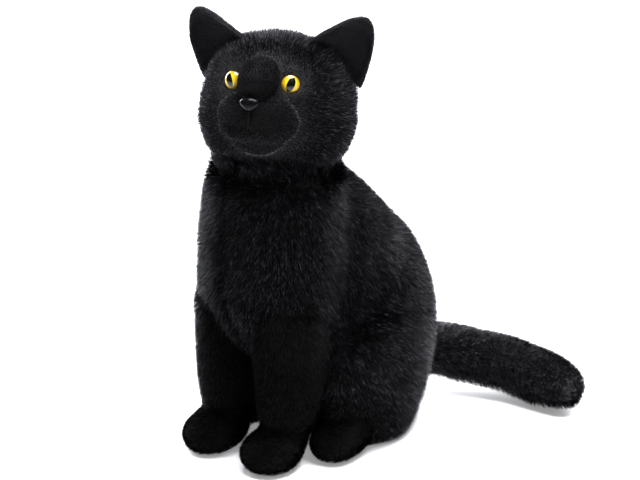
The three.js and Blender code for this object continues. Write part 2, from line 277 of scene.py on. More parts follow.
class Graph:
    """A material's node tree with a Principled shader."""

    def __init__(self, name):
        self.material = bpy.data.materials.new(name)
        self.material.use_nodes = True
        self.nodes = self.material.node_tree.nodes
        self.links = self.material.node_tree.links
        self.shader = self.nodes["Principled BSDF"]

    def feed(self, slot, value):
        if isinstance(value, S):
            self.links.new(value.socket, slot)
        else:
            slot.default_value = value

    def node(self, kind, output=0, props=(), **inputs):
        made = self.nodes.new(kind)
        for key, value in dict(props).items():
            setattr(made, key, value)
        for key, value in inputs.items():
            self.feed(made.inputs[key.replace("_", " ")], value)
        return S(self, made.outputs[output])

    def step(self, value, edge, soft):
        """0 below the edge and 1 above it, over a soft width."""
        node = self.nodes.new("ShaderNodeMapRange")
        node.interpolation_type = "SMOOTHSTEP"
        for slot, arg in zip(node.inputs, (value, edge - soft / 2, edge + soft / 2, 0, 1)):
            self.feed(slot, arg)
        return S(self, node.outputs[0])

    def mix(self, factor, low, high):
        node = self.nodes.new("ShaderNodeMix")
        node.data_type = "RGBA"
        self.feed(node.inputs[0], factor)
        for slot, value in ((node.inputs[6], low), (node.inputs[7], high)):
            self.feed(slot, value if isinstance(value, S) else (*value, 1))
        return S(self, node.outputs[2])

    def split(self, vector):
        node = self.nodes.new("ShaderNodeSeparateXYZ")
        self.feed(node.inputs[0], vector)
        return [S(self, o) for o in node.outputs]

    def place(self):
        return self.node("ShaderNodeTexCoord", output=3)

    def noise(self, scale, detail=2.0):
        return self.node("ShaderNodeTexNoise", Vector=self.place(), Scale=scale, Detail=detail)

    def done(self, color, roughness, bump=None, height=0.0, **constants):
        """Feeds the shader. Constants are named as its inputs are, with _ for a space."""
        self.feed(self.shader.inputs["Base Color"], color)
        self.feed(self.shader.inputs["Roughness"], roughness)
        if bump is not None:
            made = self.node("ShaderNodeBump", Height=bump, Distance=height)
            self.feed(self.shader.inputs["Normal"], made)
        for key, value in constants.items():
            self.shader.inputs[key.replace("_", " ")].default_value = value
        return self.material


def pile_look(name, root, tip, glint_colour, roughness, share, gloss):
    """Fibres: dark at the root, lighter at the tip, black but for a share of light ones that are painted
    glints.
    """
    g = Graph(name)
    u, v, _ = g.split(g.node("ShaderNodeUVMap", props={"uv_map": "OFBake"}))
    base = g.mix(v.over(0.7, 0.6) * u, root, tip)
    # painted glints: the given share of fibres turns light towards the tip
    painted_glint_mask = u.over(1 - share, 0.3) * v.over(0.75, 0.5)
    return g.done(g.mix(painted_glint_mask, base, glint_colour), roughness, Specular_IOR_Level=gloss)


def cloth_look(name, dark, light):
    """Knitted backing: fine loops with a slow change of tone."""
    g = Graph(name)
    loops = g.noise(900.0, 1.0)
    tone = g.noise(60.0)
    return g.done(g.mix(loops * 0.6 + tone * 0.4, dark, light), 0.95, bump=loops, height=0.0003)


def woven_look():
    g = Graph("bag_cotton")
    weave = g.node("ShaderNodeTexWave", output=1, Vector=g.place(), Scale=700.0, Distortion=0.4)
    tone = g.noise(90.0) * 0.5 + weave * 0.5
    return g.done(g.mix(tone, (0.5, 0.46, 0.38), (0.72, 0.68, 0.6)), 0.9, bump=weave, height=0.0002)


def nylon_look():
    g = Graph("white_nylon")
    tone = g.noise(140.0)
    return g.done(g.mix(tone, (0.74, 0.74, 0.7), (0.84, 0.84, 0.81)), tone * 0.15 + 0.4)


def steel_look():
    g = Graph("zinc_plate")
    tone = g.noise(400.0, 4.0)
    return g.done(g.mix(tone, (0.5, 0.51, 0.53), (0.66, 0.67, 0.69)), tone * 0.2 + 0.25, Metallic=1.0)


def eye_look():
    """Clear dome over an amber iris with a slit pupil; the eye's own map runs -1..1 across the dome."""
    g = Graph("amber_eye")
    u, v, _ = g.split(g.node("ShaderNodeUVMap", props={"uv_map": "dome"}))
    x, y = u * 2 - 1, v * 2 - 1
    far = (x * x + y * y) ** 0.5
    angle = g.node("ShaderNodeMath", props={"operation": "ARCTAN2"})
    g.feed(angle.socket.node.inputs[0], y)
    g.feed(angle.socket.node.inputs[1], x)
    rays = g.node("ShaderNodeTexNoise", Scale=1.0, Detail=3.0,
                  Vector=g.node("ShaderNodeCombineXYZ", X=angle * 9.0, Y=far * 1.5, Z=0.0))
    inner = g.mix(rays.over(0.5, 0.5), (0.5, 0.34, 0.006), (0.85, 0.62, 0.03))
    amber = g.mix(far.over(0.7, 0.4), inner, (0.3, 0.17, 0.003))
    slit = ((x / 0.4) * (x / 0.4) + (y / 0.74) * (y / 0.74)) ** 0.5
    seen = g.mix(slit.over(1.0, 0.08), (0.002, 0.002, 0.002), amber)
    rim = g.mix(far.over(0.9, 0.06), seen, (0.004, 0.0035, 0.003))
    return g.done(rim, 0.5, Coat_Weight=0.8, Coat_Roughness=0.03, Specular_IOR_Level=0.0)


def nose_look():
    g = Graph("black_nose")
    tone = g.noise(300.0)
    return g.done(g.mix(tone, (0.002, 0.002, 0.0025), (0.004, 0.004, 0.005)), 0.1,
                  Specular_IOR_Level=0.07)


def thread_look():
    g = Graph("black_thread")
    twist = g.node("ShaderNodeTexWave", output=1, Vector=g.place(), Scale=900.0, Distortion=0.0)
    return g.done(g.mix(twist, (0.001, 0.001, 0.0015), (0.008, 0.008, 0.009)), 0.9, bump=twist,
                  height=0.0002, Specular_IOR_Level=0.1)


LOOKS = {
    "cloth": cloth_look("backing_cloth", (0.0006, 0.0006, 0.0008), (0.002, 0.002, 0.0024)),
    # In each pile look the colour after the tip colour is that of the light fibres, which are painted glints;
    # then come the roughness, their share and the gloss.
    "long": pile_look("long_pile", (0.0002, 0.0002, 0.0003), (0.0017, 0.0016, 0.0028), (0.4, 0.395, 0.45),
                      0.42, 0.036, 0.08),
    "medium": pile_look("medium_pile", (0.0002, 0.0002, 0.0003), (0.0014, 0.0014, 0.0018),
                        (0.06, 0.06, 0.066), 0.5, 0.04, 0.08),
    "short": pile_look("short_pile", (0.0002, 0.0002, 0.0003), (0.0012, 0.0012, 0.0016),
                       (0.035, 0.035, 0.041), 0.6, 0.03, 0.06),
    "velour": pile_look("velour_pile", (0.0002, 0.0002, 0.0004), (0.0018, 0.0018, 0.0026),
                        (0.08, 0.078, 0.09), 0.55, 0.05, 0.09),
    # The edge look is a painted rim highlight: light, glossy fibres.
    "edge": pile_look("edge_pile", (0.001, 0.001, 0.0014), (0.03, 0.029, 0.035), (0.36, 0.355, 0.39), 0.55,
                      0.32, 0.35),
    "tail": pile_look("tail_pile", (0.0002, 0.0002, 0.0003), (0.0045, 0.0044, 0.0058), (0.34, 0.335, 0.37),
                      0.45, 0.12, 0.25),
    "ear": pile_look("ear_pile", (0.003, 0.0028, 0.004), (0.013, 0.012, 0.017), (0.06, 0.057, 0.07), 0.7, 0.1,
                     0.2),
    "ear_cloth": cloth_look("ear_cloth", (0.003, 0.0028, 0.004), (0.012, 0.011, 0.0155)),
    "bag": woven_look(),
    "nylon": nylon_look(),
    "steel": steel_look(),
    "eye": eye_look(),
    "nose": nose_look(),
    "thread": thread_look(),
}


# ---- pile ----
def blade():
    """One fibre: a tapered strip one unit long that bends towards its own +X."""
    rows = [(-0.06, 0.0, 0.5), (0.5, 0.06, 0.42), (1.0, 0.3, 0.0)]
    verts = [(bend, side * width, up) for up, bend, width in rows[:2] for side in (-1, 1)]
    verts.append((rows[2][1], 0, rows[2][0]))
    mesh = bpy.data.meshes.new("fibre")
    mesh.from_pydata(verts, [], [(0, 1, 3, 2), (2, 3, 4)])
    layer = mesh.attributes.new("strand", "FLOAT_VECTOR", "POINT")
    for item, (_, y, z) in zip(layer.data, verts):
        item.vector = (y, z, 0)
    for polygon in mesh.polygons:
        polygon.use_smooth = True
    return link("fibre", mesh)


def pile_group():
    """Geometry Nodes that grow fibres on a skin from its attributes share, comb and pile."""
    group = bpy.data.node_groups.new("Pile", "GeometryNodeTree")
    face = group.interface
    kinds = {"Geometry": "NodeSocketGeometry", "Fibre": "NodeSocketObject", "Density": "NodeSocketFloat",
             "Width": "NodeSocketFloat", "Rise": "NodeSocketFloat", "Tufts": "NodeSocketFloat",
             "Tuft Size": "NodeSocketFloat", "Stray": "NodeSocketFloat", "Seed": "NodeSocketInt",
             "Material": "NodeSocketMaterial"}
    for name, kind in kinds.items():
        face.new_socket(name, in_out="INPUT", socket_type=kind)
    face.new_socket("Geometry", in_out="OUTPUT", socket_type="NodeSocketGeometry")
    nodes, links = group.nodes, group.links
    given = nodes.new("NodeGroupInput").outputs

    def put(kind, props=(), **inputs):
        made = nodes.new(kind)
        for key, value in dict(props).items():
            setattr(made, key, value)
        for key, value in inputs.items():
            slot = made.inputs[int(key[1:]) if key[0] == "i" and key[1:].isdigit() else key.replace("_", " ")]
            if isinstance(value, bpy.types.NodeSocket):
                links.new(value, slot)
            else:
                slot.default_value = value
        return made

    def named(name, kind="FLOAT"):
        return put("GeometryNodeInputNamedAttribute", {"data_type": kind}, Name=name).outputs["Attribute"]

    def maths(kind, a, b):
        return put("ShaderNodeMath", {"operation": kind}, i0=a, i1=b).outputs[0]

    def vector(kind, a, b):
        return put("ShaderNodeVectorMath", {"operation": kind}, i0=a, i1=b).outputs[0]

    def times(a, factor):
        return put("ShaderNodeVectorMath", {"operation": "SCALE"}, i0=a, Scale=factor).outputs[0]

    def random(low, high, offset):
        seed = maths("ADD", given["Seed"], offset)
        made = put("FunctionNodeRandomValue", {"data_type": "FLOAT"}, i2=low, i3=high, Seed=seed)
        return made.outputs[1]

    def random_vector(offset):
        seed = maths("ADD", given["Seed"], offset)
        made = put("FunctionNodeRandomValue", {"data_type": "FLOAT_VECTOR"}, i0=(-1, -1, -1), i1=(1, 1, 1),
                   Seed=seed)
        return made.outputs[0]

    def swirl(scale, detail):
        made = put("ShaderNodeTexNoise", Scale=scale, Detail=detail)
        return vector("SUBTRACT", made.outputs["Color"], (0.5, 0.5, 0.5))

    spread = put("GeometryNodeDistributePointsOnFaces", Mesh=given["Geometry"], Seed=given["Seed"],
                 Density=maths("MULTIPLY", given["Density"], named("share")))
    keep = put("GeometryNodeStoreNamedAttribute", {"data_type": "FLOAT_VECTOR", "domain": "POINT"},
               Geometry=spread.outputs["Points"], Name="out", Value=spread.outputs["Normal"])
    lean = vector("ADD", times(named("out", "FLOAT_VECTOR"), given["Rise"]), named("comb", "FLOAT_VECTOR"))
    lean = vector("ADD", lean, times(swirl(given["Tuft Size"], 1.0), given["Tufts"]))
    lean = vector("ADD", lean, times(swirl(maths("MULTIPLY", given["Tuft Size"], 0.2), 1.0),
                                     maths("MULTIPLY", given["Tufts"], 0.8)))
    lean = vector("ADD", lean, times(random_vector(3), given["Stray"]))
    turn = put("FunctionNodeAxesToRotation", {"primary_axis": "Z", "secondary_axis": "X"},
               i0=lean, i1=vector("ADD", named("comb", "FLOAT_VECTOR"), times(random_vector(5), 0.5)))
    own = put("FunctionNodeAxisAngleToRotation", Axis=(0, 0, 1), Angle=random(-0.9, 0.9, 7))
    turn = put("FunctionNodeRotateRotation", {"rotation_space": "LOCAL"}, Rotation=turn.outputs[0],
               Rotate_By=own.outputs[0])
    length = maths("MULTIPLY", named("pile"), random(0.7, 1.12, 9))
    thick = maths("MULTIPLY", given["Width"], random(0.75, 1.25, 11))
    bend = maths("MULTIPLY", length, random(0.2, 1.1, 13))
    size = put("ShaderNodeCombineXYZ", X=bend, Y=thick, Z=length)
    fibre = put("GeometryNodeObjectInfo", Object=given["Fibre"])
    stand = put("GeometryNodeInstanceOnPoints", Points=keep.outputs[0], Instance=fibre.outputs["Geometry"],
                Rotation=turn.outputs[0], Scale=size.outputs[0])
    tint = put("GeometryNodeStoreNamedAttribute", {"data_type": "FLOAT", "domain": "INSTANCE"},
               Geometry=stand.outputs[0], Name="tint", Value=random(0.01, 0.99, 15))
    real = put("GeometryNodeRealizeInstances", Geometry=tint.outputs[0])
    strand = put("ShaderNodeSeparateXYZ", i0=named("strand", "FLOAT_VECTOR"))
    u = maths("ADD", named("tint"), maths("MULTIPLY", strand.outputs[0], 0.016))
    v = maths("MINIMUM", maths("MAXIMUM", strand.outputs[1], 0.01), 0.99)
    chart = put("ShaderNodeCombineXYZ", X=u, Y=v)
    mapped = put("GeometryNodeStoreNamedAttribute", {"data_type": "FLOAT2", "domain": "CORNER"},
                 Geometry=real.outputs[0], Name="OFBake", Value=chart.outputs[0])
    spot = put("ShaderNodeSeparateXYZ", i0=put("GeometryNodeInputPosition").outputs[0])
    floor = put("ShaderNodeCombineXYZ", X=spot.outputs[0], Y=spot.outputs[1],
                Z=maths("MAXIMUM", spot.outputs[2], 0.0002))
    above = put("GeometryNodeSetPosition", Geometry=mapped.outputs[0], Position=floor.outputs[0])
    dress = put("GeometryNodeSetMaterial", Geometry=above.outputs[0], Material=given["Material"])
    links.new(dress.outputs[0], nodes.new("NodeGroupOutput").inputs[0])
    return group


FIBRE = blade()
PILE = pile_group()


def comb_to(obj, direction):
    """Lays the pile along a direction field, in the plane of the cloth."""
    out = normals(obj.data)
    flat = direction - out * (direction * out).sum(1, keepdims=True)
    set_attribute(obj.data, "comb", unit(flat), "FLOAT_VECTOR")


def drop_attributes(mesh, *names):
    for extra in [a.name for a in mesh.attributes if a.name in names]:
        mesh.attributes.remove(mesh.attributes[extra])


def coat(obj, name, share, pile, look, density, width, rise=2.2, tufts=1.0, tuft=230.0, stray=0.45, seed=1):
    """Grows one piece of pile on a skin. share is 0..1 and pile is the fibre length in metres, both per
    vertex. density is fibres per square mm and width is in mm."""
    set_attribute(obj.data, "share", share)
    set_attribute(obj.data, "pile", pile)
    made = obj.modifiers.new("Pile", "NODES")
    made.node_group = PILE
    values = {"Fibre": FIBRE, "Density": density / MM ** 2, "Width": width * MM, "Rise": rise, "Tufts": tufts,
              "Tuft Size": tuft, "Stray": stray, "Seed": seed, "Material": LOOKS[look]}
    for item in PILE.interface.items_tree:
        if item.in_out == "INPUT" and item.name in values:
            made[item.identifier] = values[item.name]
    obj.update_tag()
    bpy.context.view_layer.update()
    depsgraph = bpy.context.evaluated_depsgraph_get()
    mesh = bpy.data.meshes.new_from_object(obj.evaluated_get(depsgraph), preserve_all_data_layers=True,
                                           depsgraph=depsgraph)
    obj.modifiers.clear()
    mesh.name = name
    drop_attributes(mesh, "strand", "tint", "comb", "pile", "share", "out")
    return link(name, mesh)


def dress(obj, look, body, slot, nodes=(), fill=None):
    """Material, body and the CAD nodes that a piece stands for. The slot is not used."""
    if look:
        obj.data.materials.clear()
        obj.data.materials.append(LOOKS[look])
    for polygon in obj.data.polygons:
        polygon.use_smooth = True
    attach(obj, body)
    if nodes:
        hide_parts(*nodes)
    return obj


def clean(obj):
    """Takes the working attributes off a finished skin."""
    drop_attributes(obj.data, "comb", "pile", "share")


# ---- the skins ----
def both(*names):
    return [f"{n}_{side}" for n in names for side, _ in SIDES]


def head_frame(co):
    """Places as they would be with the head turned straight ahead, from the neck axis."""
    c, s = math.cos(-HEAD_TURN), math.sin(-HEAD_TURN)
    p = co - np.array(NECK)
    return np.stack([c * p[:, 0] - s * p[:, 1], s * p[:, 0] + c * p[:, 1], p[:, 2]], 1)


def head_turned(v):
    c, s = math.cos(HEAD_TURN), math.sin(HEAD_TURN)
    return np.stack([c * v[:, 0] - s * v[:, 1], s * v[:, 0] + c * v[:, 1], v[:, 2]], 1)


def head_press(obj, at, radius, depth, along):
    """press, with the place and the direction given as if the head looked straight ahead."""
    spot = head_turned(np.array([at]))[0] + np.array(NECK) / MM
    press(obj, spot, radius, depth, head_turned(np.array([along]))[0])


torso = skin("body_cloth", both("chest_panel", "torso_side", "haunch_cover", "hindleg_stuffing")
             + ["base_panel", "torso_neck_panel", "pellet_bag", "torso_stuffing", "torso_joint_disc"],
             voxel=4 * MM, smooth=6)
fill_creases(torso, 7 * MM, 4 * MM)
for _, sign in SIDES:
    press(torso, (sign * 62, -26, 112), (22, 26, 24), 7, (-sign, 0, 0))
    press(torso, (sign * 60, 22, 85), (40, 45, 50), 3, (0.7 * sign, 0.7, 0))
    press(torso, (sign * 58, -8, 108), (22, 30, 24), 3, (-sign, 0, 0))
    press(torso, (sign * 48, -68, 198), (34, 44, 22), 4, (sign, 0, 0))
press(torso, (0, -108, 196), (52, 30, 22), 4, (0, -1, 0))
hindleg = {side: skin(f"hindpaw_cloth_{side}", [f"hindpaw_cover_{side}"], voxel=2.5 * MM, smooth=5, hull=True)
           for side, _ in SIDES}
foreleg = {side: skin(f"foreleg_cloth_{side}",
                      [f"foreleg_cover_{side}", f"forepaw_cover_{side}", f"foreleg_stuffing_{side}"],
                      voxel=3 * MM, smooth=5) for side, _ in SIDES}
tail = skin("tail_cloth", ["tail_cover", "tail_stuffing"], voxel=3 * MM, smooth=8)
head = skin("head_cloth", both("head_side") + ["head_crown", "head_neck_panel", "head_stuffing",
                                               "head_joint_disc"], voxel=3.5 * MM, smooth=5)
for sign in (-1, 1):
    head_press(head, (sign * 31, 2, 76), (20, 28, 18), 3.2, (0.5 * sign, 0, 0.86))
    head_press(head, (sign * 40, -30, 24), (16, 18, 14), -2.5, (0.7 * sign, -0.7, 0.1))
    head_press(head, (sign * 40, 0, 2), (24, 40, 12), 2.2, (sign, 0, -0.3))
muzzle = skin("muzzle_cloth", ["muzzle_cover"], voxel=1.8 * MM, smooth=8, hull=True, lumps=0.2 * MM)
chin = skin("chin_cloth", ["chin_cover"], voxel=1.8 * MM, smooth=8, hull=True, lumps=0)
bridge = skin("bridge_cloth", ["nose_bridge"], voxel=1.6 * MM, smooth=6, hull=True, lumps=0)
head_press(bridge, (0, -46, 70), (20, 22, 15), 5, (0, 1, -0.3))
for obj, grow, ahead, up in ((muzzle, 1.8, 1.2, 0.5), (chin, 1.8, 2.2, 4.5), (bridge, 0.2, 0, 0)):
    grow, forward = grow * MM, head_turned(np.array([[0, -ahead, up]])) * MM
    set_places(obj.data, places(obj.data) + normals(obj.data) * grow + forward)

co = places(torso.data)
front = co[:, 1] < CHEST_SEAM
seam = np.minimum(np.abs(co[:, 0]), np.abs(co[:, 1] - CHEST_SEAM))
inflate(torso, (seam < 3 * MM) | (co[:, 2] < 5 * MM) | (co[:, 2] > NECK.z - 6 * MM))
crease(torso, np.where(front, np.abs(co[:, 0]), 1), depth=2.2 * MM, half=5 * MM)
crease(torso, seam, depth=1.0 * MM)
for side, _ in SIDES:
    co = places(foreleg[side].data)
    inflate(foreleg[side], (np.abs(co[:, 2] - PAW_SEAM) < 2 * MM) | (co[:, 2] < 4 * MM))
    crease(foreleg[side], np.abs(co[:, 2] - PAW_SEAM), depth=0.4 * MM, half=4 * MM)
    inflate(hindleg[side], places(hindleg[side].data)[:, 2] < 4 * MM, limit=1.5 * MM)
inflate(tail, places(tail.data)[:, 2] < 4 * MM, limit=1.5 * MM)

# ---- pile on the torso, the legs and the tail ----
TREES = {"torso": tree(torso), "head": tree(head), "muzzle": tree(muzzle), "chin": tree(chin),
         "bridge": tree(bridge)}
for side, _ in SIDES:
    TREES[f"hindleg_{side}"] = tree(hindleg[side])
    TREES[f"foreleg_{side}"] = tree(foreleg[side])


def bare_in(co, *others, margin=1.0):
    """1 in the open and 0 inside the other skins."""
    keep = np.ones(len(co))
    for other in others:
        keep *= np.clip((depth_in(co, TREES[other]) / MM + margin) / 2, 0, 1)
    return keep


def ease(t):
    t = np.clip(t, 0, 1)
    return t * t * (3 - 2 * t)


def open_part(obj, *others):
    """Where pile can grow: clear of the other skins, of the underside and of the floor."""
    co = places(obj.data)
    return bare_in(co, *others) * (normals(obj.data)[:, 2] > -0.9) * (co[:, 2] > FLOOR_CLEAR)


DOWN = np.array([0, 0, -1.0])
LEGS = [f"{n}_{side}" for n in ("hindleg", "foreleg") for side, _ in SIDES]

co = places(torso.data)
open_share = bare_in(co, *LEGS) * (normals(torso.data)[:, 2] > -0.93) * (co[:, 2] > FLOOR_CLEAR)
open_share *= np.clip(1 - (normals(torso.data)[:, 2] > 0.9) * (co[:, 2] > NECK.z - 5 * MM), 0, 1)
collar = ease((co[:, 2] / MM - 200) / 14)
sideways = unit(np.stack([co[:, 0], co[:, 1] + 40 * MM, np.zeros(len(co))], 1))
comb_to(torso, DOWN * (1 - 1.9 * collar[:, None]) + (0.35 + 0.35 * collar[:, None]) * sideways)
panels = both("chest_panel", "torso_side", "haunch_cover")
owner = nearest_of(co, panels)
parting = 1 - 0.3 * np.exp(-((co[:, 0] / (3 * MM)) ** 2))
paws = np.min([depth_in(co, TREES[f"hindleg_{side}"]) for side, _ in SIDES], 0) / MM
length = (SHORT + (LONG - SHORT) * ease(paws / 26)) * parting * (1 + 0.4 * collar)
for number, node in enumerate(panels):
    name = node.replace("panel", "pile").replace("side", "side_pile").replace("cover", "pile")
    dress(coat(torso, name, (owner == number) * open_share, length, "long", 2.2, 0.32, seed=10 + number),
          None, "torso", "long_pile_plush")
clean(torso)
dress(torso, "cloth", "torso", "long_pile_plush",
      panels + both("hindleg_stuffing") + ["base_panel", "torso_neck_panel", "torso_stuffing"], fill=0.8)

for number, (side, _) in enumerate(SIDES):
    obj = hindleg[side]
    co = places(obj.data)
    share = open_part(obj, "torso", "foreleg_" + side)
    comb_to(obj, np.tile([[0, -1, 0.1]], (len(co), 1)))
    dress(coat(obj, f"hindpaw_pile_{side}", share, np.full(len(co), SHORT), "short", 3.2, 0.32, rise=1.4,
               tufts=1.0, tuft=300.0, seed=24 + number), None, "torso", "short_pile_plush")
    clean(obj)
    dress(obj, "cloth", "torso", "short_pile_plush", [f"hindpaw_cover_{side}"], fill=0.8)

    obj = foreleg[side]
    co = places(obj.data)
    other = "foreleg_" + ("right" if side == "left" else "left")
    share = open_part(obj, "torso", other)
    paw = np.clip((PAW_SEAM + 1.5 * MM - co[:, 2]) / (3 * MM), 0, 1)
    comb_to(obj, DOWN * (1 - paw[:, None]) + np.array([0, -1, 0.1]) * paw[:, None])
    grade = SHORT + (MEDIUM - SHORT) * ease((co[:, 2] / MM - 22) / 40)
    dress(coat(obj, f"foreleg_pile_{side}", (1 - paw) * share, grade, "medium", 2.6, 0.32,
               rise=1.8, tufts=1.2, tuft=300.0, seed=28 + number), None, "torso", "medium_pile_plush")
    dress(coat(obj, f"forepaw_pile_{side}", paw * share, grade, "short", 3.2, 0.32,
               rise=1.4, tufts=1.0, tuft=300.0, seed=32 + number), None, "torso", "short_pile_plush")
    clean(obj)
    dress(obj, "cloth", "torso", "medium_pile_plush",
          [f"foreleg_cover_{side}", f"forepaw_cover_{side}", f"foreleg_stuffing_{side}"], fill=0.8)

co = places(tail.data)
share = open_part(tail, "torso")
along = np.stack([0.25 + co[:, 0] / (70 * MM), 1.1 - co[:, 0] / (60 * MM), -0.1 + 0 * co[:, 0]], 1)
comb_to(tail, along)
dress(coat(tail, "tail_pile", share, np.full(len(co), MEDIUM * 1.1), "tail", 2.6, 0.34, rise=1.6,
           tufts=1.3, tuft=240.0, seed=40), None, "tail", "medium_pile_plush")
clean(tail)
dress(tail, "cloth", "tail", "medium_pile_plush", ["tail_cover", "tail_stuffing"], fill=0.8)

# ---- the head ----
co = places(head.data)
local = head_frame(co) / MM
share = bare_in(co, "muzzle", "chin", "bridge") * (local[:, 2] > 3)
clear = np.min([depth_in(co, TREES[n]) for n in ("muzzle", "chin", "bridge")], 0) / MM
for sign in (-1, 1):
    eye = np.array([sign * EYE_X, EYE_Y, EYE_Z])
    clear = np.minimum(clear, np.linalg.norm(local - eye, axis=1) - 8)
away = local - np.array([0, -62, 42])
comb_to(head, head_turned(unit(away) + np.array([0, 0, -0.45]) * ease((30 - local[:, 2:3]) / 25)))
share *= clear > 0
length = 1.2 * MM + (LONG - 1.2 * MM) * ease((clear - 1) / 26)
length *= 0.8 + 0.2 * ease((local[:, 2] - 6) / 30)
panels = ["head_side_left", "head_side_right", "head_crown"]
owner = nearest_of(co, panels)
for number, node in enumerate(panels):
    name = node.replace("side", "side_pile").replace("crown", "crown_pile")
    dress(coat(head, name, (owner == number) * share, length, "long", 2.6, 0.3, rise=1.3, stray=0.3,
               seed=50 + number), None, "head", "long_pile_plush")
clean(head)
dress(head, "cloth", "head", "long_pile_plush", panels + ["head_neck_panel", "head_stuffing"], fill=0.85)

for number, (obj, node, others) in enumerate((
        (muzzle, "muzzle_cover", ("head", "chin", "bridge")), (chin, "chin_cover", ("head", "muzzle")),
        (bridge, "nose_bridge", ("head", "muzzle")))):
    co = places(obj.data)
    local = head_frame(co) / MM
    comb_to(obj, head_turned(unit(local - np.array([0, -62, 48]))))
    share = bare_in(co, *others, margin=0.5)
    dress(coat(obj, obj.name.replace("cloth", "pile"), share, np.full(len(co), VELOUR), "velour", 5.0, 0.3,
               rise=2.4, tufts=0.8, tuft=400.0, seed=60 + number), None, "head", "short_pile_plush")
    if obj is not bridge:
        # A painted rim highlight: a band of light fibres where the muzzle and the chin meet the head, fading
        # out towards the top.
        seam = depth_in(co, TREES["head"]) / MM
        edge = np.exp(-(((seam - 1.2) / 1.3) ** 2)) * ease((56 - local[:, 2]) / 10) * share
        # The painted rim highlight is stronger on the cat's right side, where the light falls.
        edge *= 0.35 + 0.65 * ease((20 - local[:, 0]) / 24)
        dress(coat(obj, obj.name.replace("cloth", "edge_pile"), edge, np.full(len(co), 1.7 * VELOUR), "edge",
                   5.0, 0.3, rise=2.4, tufts=0.8, tuft=400.0, seed=66 + number), None, "head",
              "short_pile_plush")
    clean(obj)
    dress(obj, "cloth", "head", "short_pile_plush", [node], fill=0.8)


# ---- ears ----
def ear_sheet(name, sign, front, thick):
    """A leaf-shaped panel, cupped forwards and set on the side of the head, as the CAD panels are."""
    half, height, tip, drop, cup = 25.0, 42.0, 0.62, 0.38, 9.0
    columns, rows = 36, 30
    bm = bmesh.new()
    layers = []
    for face in (0, 1):
        grid = []
        for j in range(rows + 1):
            up = j / rows
            for i in range(columns + 1):
                across = -1 + 2 * i / columns
                leaf = half * (1 - (1 - tip) * up ** 1.3)
                edge = max(abs(across), up)
                rolled = 1.1 * math.exp(-(((edge - 0.9) / 0.07) ** 2))
                rolled -= 0.5 * math.exp(-(((edge - 0.76) / 0.05) ** 2))
                cupped = cup * (1 - across * across) * (1 - 0.5 * up)
                depth = front + thick * (0.5 + (face - 0.5) * (1 - 0.75 * edge ** 12)) + face * rolled
                grid.append(bm.verts.new((across * leaf, cupped - depth,
                                          height * up * (1 - drop * across * across))))
        layers.append(grid)
    wide = columns + 1
    for j in range(rows):
        for i in range(columns):
            a = j * wide + i
            for face, grid in enumerate(layers):
                quad = [grid[a], grid[a + 1], grid[a + 1 + wide], grid[a + wide]]
                bm.faces.new(quad if face == 1 else quad[::-1])
    rim = ([j * wide for j in range(rows, 0, -1)] + list(range(columns + 1))
           + [columns + j * wide for j in range(1, rows + 1)]
           + [rows * wide + i for i in range(columns - 1, -1, -1)])
    for a, b in zip(rim, rim[1:]):
        bm.faces.new((layers[0][a], layers[0][b], layers[1][b], layers[1][a]))
    matrix = (Matrix.Translation(NECK) @ Matrix.Rotation(HEAD_TURN, 4, "Z")
              @ Matrix.Scale(MM, 4)
              @ Matrix.Translation((sign * EAR_X, EAR_Y, EAR_Z))
              @ Matrix.Rotation(math.radians(sign * 38), 4, "Y")
              @ Matrix.Translation((0, 0, -6)) @ Matrix.Rotation(math.radians(sign * 16), 4, "Z"))
    bmesh.ops.transform(bm, matrix=matrix, verts=bm.verts)
    bmesh.ops.recalc_face_normals(bm, faces=bm.faces)
    return from_bmesh(name, bm)


for number, (side, sign) in enumerate(SIDES):
    for layer, (part, front) in enumerate((("ear_back", 0.0), ("ear_front", 3.1))):
        obj = ear_sheet(f"{part}_cloth_{side}", sign, front, 3.1 if layer == 0 else 1.7)
        co = places(obj.data)
        up = head_turned(np.tile([[sign * 0.55, 0.05, 0.83]], (len(co), 1)))
        comb_to(obj, up)
        share = bare_in(co, "head", margin=0)
        dress(coat(obj, f"{part}_pile_{side}", share, np.full(len(co), VELOUR), "ear", 4.0, 0.3, rise=1.8,
                   tufts=0.9, tuft=300.0, seed=70 + 2 * number + layer), None, "head", "ear_velour")
        clean(obj)
        dress(obj, "ear_cloth", "head", "ear_velour", [f"{part}_{side}"], fill=0.3)


# ---- eyes, nose and mouth ----
def facing(at, axis):
    turn = Vector((0, 0, 1)).rotation_difference(Vector(axis).normalized()).to_matrix().to_4x4()
    return (Matrix.Translation(NECK) @ Matrix.Rotation(HEAD_TURN, 4, "Z") @ Matrix.Scale(MM, 4)
            @ Matrix.Translation(at) @ turn)


def turned_form(name, profile, matrix, shape=None):
    """A form of revolution about +Z; profile holds (radius, height) from the top down."""
    steps = 48
    bm = bmesh.new()
    rings = []
    for radius, height in profile:
        ring = [] if radius else [bm.verts.new((0, 0, height))]
        for k in range(steps if radius else 0):
            a = 2 * math.pi * k / steps
            ring.append(bm.verts.new((radius * math.cos(a), radius * math.sin(a), height)))
        rings.append(ring)
    for upper, lower in zip(rings, rings[1:]):
        for k in range(steps):
            n = (k + 1) % steps
            loop = {upper[k % len(upper)], upper[n % len(upper)], lower[n % len(lower)], lower[k % len(lower)]}
            if len(loop) == 3:
                order = [upper[k % len(upper)], lower[k % len(lower)], lower[n % len(lower)]]
                if len(lower) == 1:
                    order = [upper[k], lower[0], upper[n]]
                bm.faces.new(order)
            else:
                bm.faces.new((upper[k], lower[k], lower[n], upper[n]))
    if shape:
        shape(bm)
    layer = bm.loops.layers.uv.new("dome")
    reach = max(r for r, _ in profile)
    for f in bm.faces:
        for loop in f.loops:
            loop[layer].uv = (0.5 + loop.vert.co.x / reach / 2, 0.5 + loop.vert.co.y / reach / 2)
    bmesh.ops.transform(bm, matrix=matrix, verts=bm.verts)
    bmesh.ops.recalc_face_normals(bm, faces=bm.faces)
    return from_bmesh(name, bm)


